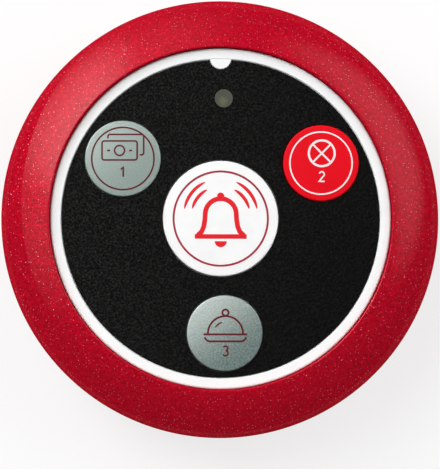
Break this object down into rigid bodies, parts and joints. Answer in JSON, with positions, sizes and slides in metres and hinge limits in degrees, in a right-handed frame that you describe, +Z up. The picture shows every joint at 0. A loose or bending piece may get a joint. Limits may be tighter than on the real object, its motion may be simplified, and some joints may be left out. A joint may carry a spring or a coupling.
{
  "type": "waiter call button",
  "caption": "Round table call button: domed red pearl shell, white rimmed black face, sprung keys over tact switches, radio board and battery inside.",
  "frame": {"origin": "centre of the underside of the adhesive pad, on the table", "axes": "+Z up out of the face, +Y towards the indicator lamp, +X towards the right of the face"},
  "size_m": [0.06, 0.06, 0.02],
  "materials": {
    "shell_red": "high gloss red pearl with fine silver flake",
    "face_white": "satin white moulded plastic",
    "film_black": "black film with a fine pebble grain",
    "lens_smoke": "smoked clear plastic",
    "call_white": "satin white moulded plastic with red print",
    "key_grey": "satin grey green with dark red print",
    "cancel_red": "satin bright red with white print",
    "order_grey": "satin grey green with dark red print",
    "switch_black": "moulded",
    "switch_steel": "stamped",
    "contact_metal": "plated",
    "board_green": "solder mask",
    "chip_black": "moulded",
    "chip_brown": "fired",
    "led_red": "tinted resin",
    "can_metal": "plated can",
    "aerial_copper": "enamelled copper wire",
    "holder_black": "moulded",
    "battery_wrap": "plain printed sleeve without lettering",
    "screw_steel": "zinc plated",
    "base_black": "fine spark texture",
    "seal_grey": "silicone",
    "pad_foam": "closed cell foam with adhesive"
  },
  "bodies": {
    "housing": {"outer_shell": "shell_red", "face_plate": "face_white", "overlay_film": "film_black", "led_lens": "lens_smoke", "call_switch_base": "switch_black", "pay_switch_base": "switch_black", "cancel_switch_base": "switch_black", "order_switch_base": "switch_black", "call_switch_cover": "switch_steel", "pay_switch_cover": "switch_steel", "cancel_switch_cover": "switch_steel", "order_switch_cover": "switch_steel", "snap_domes": "switch_steel", "switch_legs": "contact_metal", "circuit_board": "board_green", "board_screws": "screw_steel", "status_led": "led_red", "encoder_chip": "chip_black", "radio_resonator": "can_metal", "radio_transistor": "chip_black", "chip_parts": "chip_brown", "coil_aerial": "aerial_copper", "battery_holder": "holder_black", "battery_cell": "battery_wrap", "battery_terminal": "contact_metal", "battery_spring": "contact_metal", "battery_contact": "contact_metal", "base_cover": "base_black", "seal_ring": "seal_grey", "cover_screws": "screw_steel", "adhesive_pad": "pad_foam"},
    "call_button": {"call_key": "call_white", "call_switch_plunger": "switch_black"},
    "pay_button": {"pay_key": "key_grey", "pay_switch_plunger": "switch_black"},
    "cancel_button": {"cancel_key": "cancel_red", "cancel_switch_plunger": "switch_black"},
    "order_button": {"order_key": "order_grey", "order_switch_plunger": "switch_black"}
  },
  "joints": [
    {"name": "call_press", "type": "slide", "parent": "housing", "child": "call_button", "axis": [0, 0, -1], "range_m": [0, 0.0004], "stiffness_N_per_m": 1200, "springref_m": -0.0004},
    {"name": "pay_press", "type": "slide", "parent": "housing", "child": "pay_button", "axis": [0, 0, -1], "range_m": [0, 0.0004], "stiffness_N_per_m": 1200, "springref_m": -0.0004},
    {"name": "cancel_press", "type": "slide", "parent": "housing", "child": "cancel_button", "axis": [0, 0, -1], "range_m": [0, 0.0004], "stiffness_N_per_m": 1200, "springref_m": -0.0004},
    {"name": "order_press", "type": "slide", "parent": "housing", "child": "order_button", "axis": [0, 0, -1], "range_m": [0, 0.0004], "stiffness_N_per_m": 1200, "springref_m": -0.0004}
  ]
}
